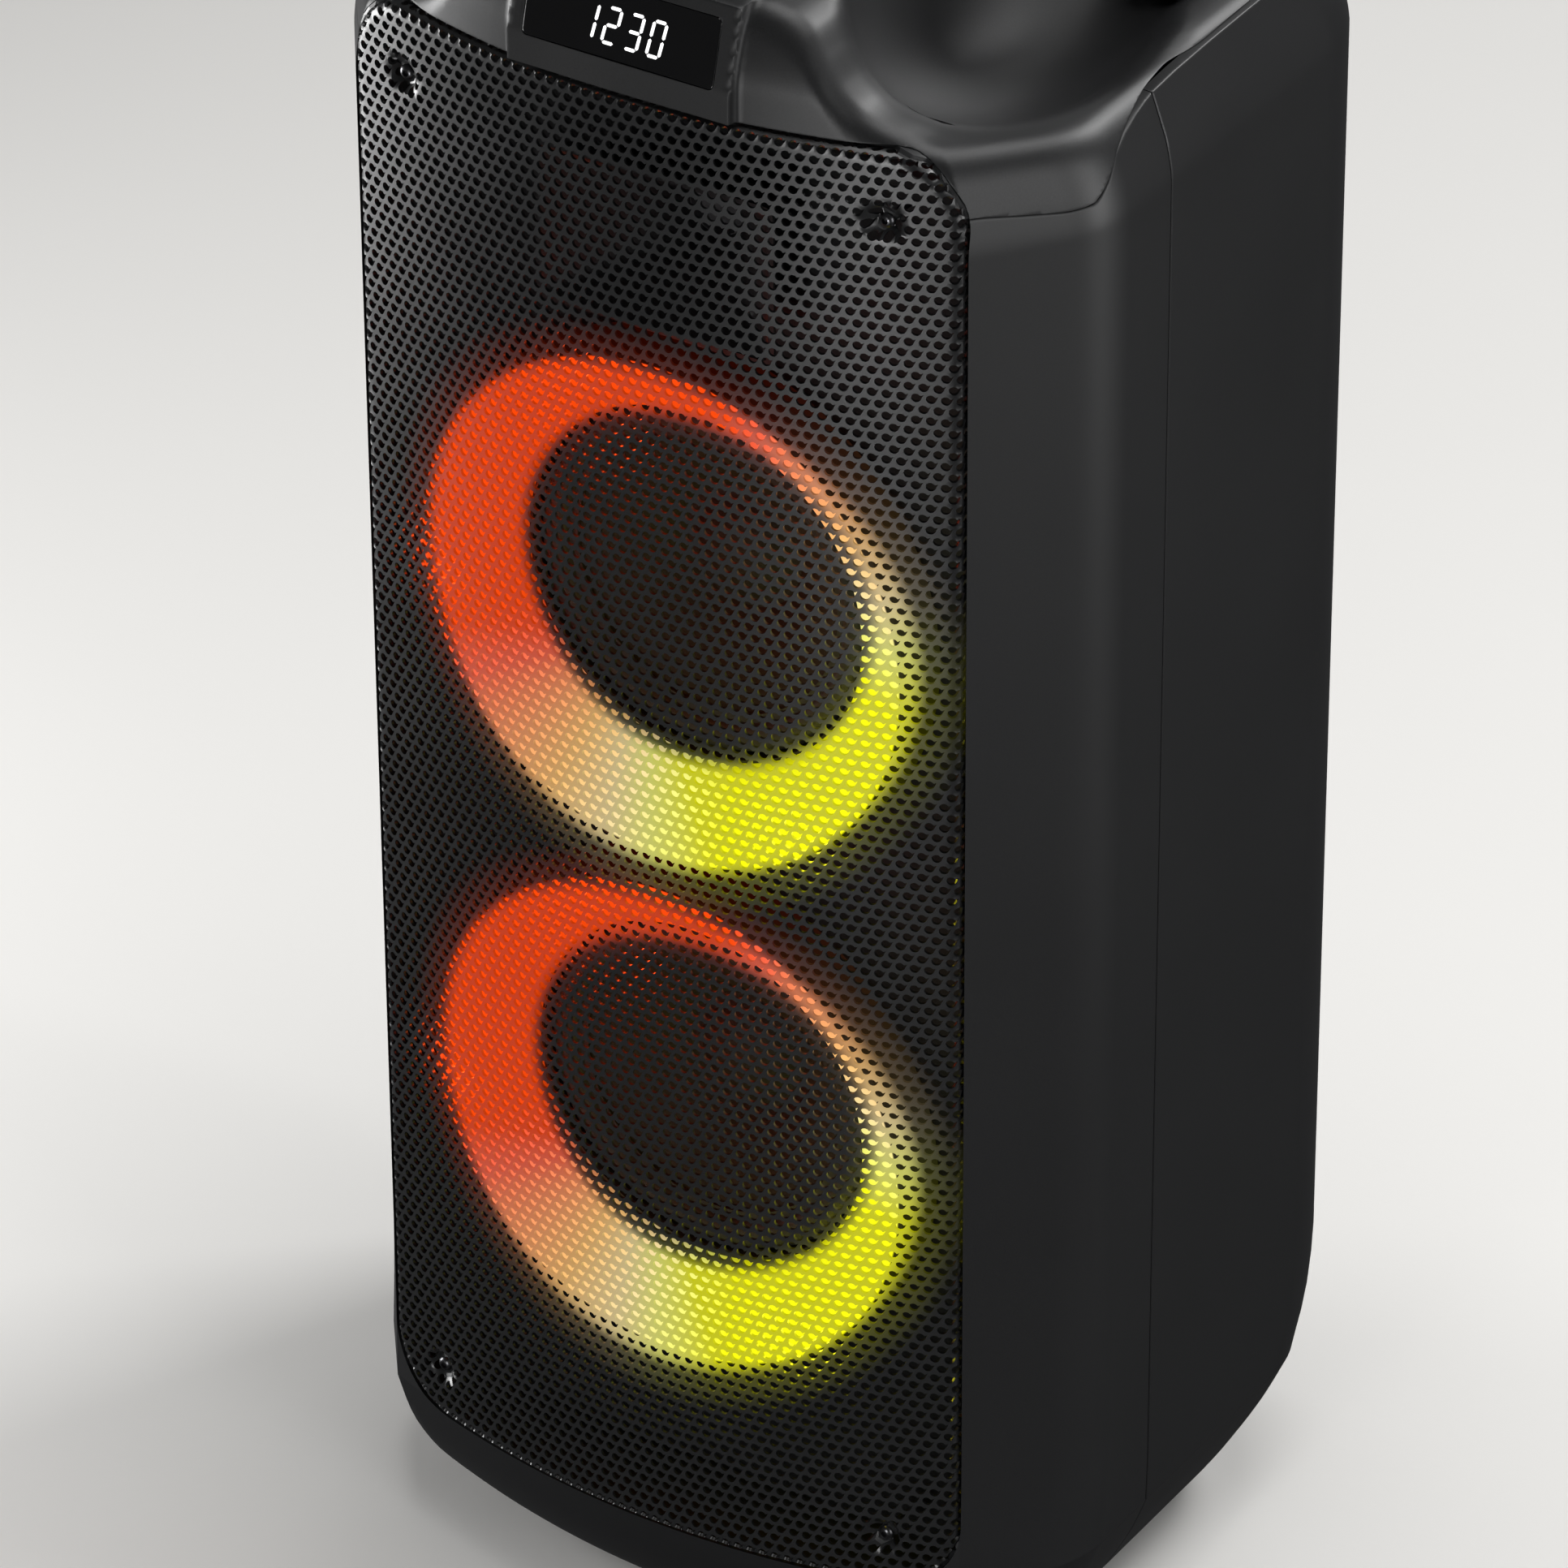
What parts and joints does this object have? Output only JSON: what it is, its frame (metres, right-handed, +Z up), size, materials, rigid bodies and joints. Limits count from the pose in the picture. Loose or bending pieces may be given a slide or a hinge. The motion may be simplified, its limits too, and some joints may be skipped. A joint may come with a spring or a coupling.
{
  "type": "party loudspeaker",
  "caption": "Tall tower loudspeaker: bowed perforated grille over lit woofers and a horn, top console with display, scoops and carry handle.",
  "frame": {"origin": "on the floor under the middle of the cabinet's bounding box", "axes": "+Z up, the grille faces -Y, +X to the right of a viewer facing the grille"},
  "size_m": [0.325, 0.28, 0.76],
  "materials": {
    "case_plastic": "fine grained charcoal moulding",
    "cap_plastic": "slightly coarser grained charcoal moulding",
    "grille_steel": "satin black powder coat, perforated",
    "gloss_black": "piano black",
    "screw_steel": "black zinc, satin",
    "light_diffuser": "lit translucent diffuser",
    "circuit_board": "green solder mask",
    "basket_steel": "black paint",
    "magnet_ferrite": "ferrite and plated steel",
    "cone_paper": "pressed fibre, matte",
    "soft_rubber": "matte",
    "spider_cloth": "impregnated cloth",
    "horn_plastic": "smooth satin",
    "knob_plastic": "satin, knurled",
    "key_plastic": "satin",
    "bare_aluminium": "bare",
    "battery_wrap": "shrink film"
  },
  "bodies": {
    "cabinet": {"amplifier_board": "circuit_board", "aux_jack": "key_plastic", "battery_pack": "battery_wrap", "carry_handle": "case_plastic", "control_board": "circuit_board", "control_panel": "gloss_black", "display_board": "circuit_board", "display_window": "gloss_black", "foot_1": "soft_rubber", "foot_2": "soft_rubber", "foot_3": "soft_rubber", "foot_4": "soft_rubber", "front_shell": "case_plastic", "grille": "grille_steel", "grille_screw_1": "screw_steel", "grille_screw_2": "screw_steel", "grille_screw_3": "screw_steel", "grille_screw_4": "screw_steel", "guitar_jack": "key_plastic", "handle_grip": "soft_rubber", "heat_sink": "bare_aluminium", "horn_flare": "horn_plastic", "input_panel": "case_plastic", "lower_led_board": "circuit_board", "lower_light_ring": "light_diffuser", "lower_woofer_frame": "basket_steel", "lower_woofer_magnet": "magnet_ferrite", "mic_jack": "key_plastic", "port_tube": "case_plastic", "power_inlet": "key_plastic", "power_supply": "circuit_board", "rear_shell": "case_plastic", "switch_body": "key_plastic", "top_cap": "cap_plastic", "tweeter_driver": "magnet_ferrite", "upper_led_board": "circuit_board", "upper_light_ring": "light_diffuser", "upper_woofer_frame": "basket_steel", "upper_woofer_magnet": "magnet_ferrite", "usb_socket": "bare_aluminium"},
    "volume_knob": {"volume_knob": "knob_plastic"},
    "mic_volume_knob": {"mic_volume_knob": "key_plastic"},
    "guitar_volume_knob": {"guitar_volume_knob": "key_plastic"},
    "power_rocker": {"power_rocker": "key_plastic"},
    "upper_cone": {"upper_woofer_cone": "cone_paper", "upper_dust_cap": "cone_paper", "upper_surround": "soft_rubber", "upper_spider": "spider_cloth"},
    "lower_cone": {"lower_woofer_cone": "cone_paper", "lower_dust_cap": "cone_paper", "lower_surround": "soft_rubber", "lower_spider": "spider_cloth"},
    "button_previous": {"button_previous": "key_plastic"},
    "button_play_pause": {"button_play_pause": "key_plastic"},
    "button_next": {"button_next": "key_plastic"},
    "button_bass_boost": {"button_bass_boost": "key_plastic"},
    "button_light_mode": {"button_light_mode": "key_plastic"},
    "button_power": {"button_power": "key_plastic"},
    "button_source": {"button_source": "key_plastic"}
  },
  "joints": [
    {"name": "volume_spin", "type": "hinge", "parent": "cabinet", "child": "volume_knob", "pos_m": [0, -0.072, 0.735], "axis": [0, 0, 1], "continuous": true},
    {"name": "previous_press", "type": "slide", "parent": "cabinet", "child": "button_previous", "axis": [0, 0, -1], "range_m": [0, 0.001], "stiffness_N_per_m": 250, "springref_m": -0.001},
    {"name": "play_pause_press", "type": "slide", "parent": "cabinet", "child": "button_play_pause", "axis": [0, 0, -1], "range_m": [0, 0.001], "stiffness_N_per_m": 250, "springref_m": -0.001},
    {"name": "next_press", "type": "slide", "parent": "cabinet", "child": "button_next", "axis": [0, 0, -1], "range_m": [0, 0.001], "stiffness_N_per_m": 250, "springref_m": -0.001},
    {"name": "bass_boost_press", "type": "slide", "parent": "cabinet", "child": "button_bass_boost", "axis": [0, 0, -1], "range_m": [0, 0.001], "stiffness_N_per_m": 250, "springref_m": -0.001},
    {"name": "light_mode_press", "type": "slide", "parent": "cabinet", "child": "button_light_mode", "axis": [0, 0, -1], "range_m": [0, 0.001], "stiffness_N_per_m": 250, "springref_m": -0.001},
    {"name": "power_press", "type": "slide", "parent": "cabinet", "child": "button_power", "axis": [0, 0, -1], "range_m": [0, 0.001], "stiffness_N_per_m": 250, "springref_m": -0.001},
    {"name": "source_press", "type": "slide", "parent": "cabinet", "child": "button_source", "axis": [0, 0, -1], "range_m": [0, 0.001], "stiffness_N_per_m": 250, "springref_m": -0.001},
    {"name": "mic_volume_turn", "type": "hinge", "parent": "cabinet", "child": "mic_volume_knob", "pos_m": [-0.056, 0.118, 0.508], "axis": [0, 1, 0], "range_deg": [-150, 150]},
    {"name": "guitar_volume_turn", "type": "hinge", "parent": "cabinet", "child": "guitar_volume_knob", "pos_m": [-0.028, 0.118, 0.508], "axis": [0, 1, 0], "range_deg": [-150, 150]},
    {"name": "power_rocker_tilt", "type": "hinge", "parent": "cabinet", "child": "power_rocker", "pos_m": [0.054, 0.115, 0.542], "axis": [1, 0, 0], "range_deg": [-6, 6]},
    {"name": "upper_cone_travel", "type": "slide", "parent": "cabinet", "child": "upper_cone", "axis": [0, -1, 0], "range_m": [-0.004, 0.004], "stiffness_N_per_m": 900},
    {"name": "lower_cone_travel", "type": "slide", "parent": "cabinet", "child": "lower_cone", "axis": [0, -1, 0], "range_m": [-0.004, 0.004], "stiffness_N_per_m": 900}
  ]
}
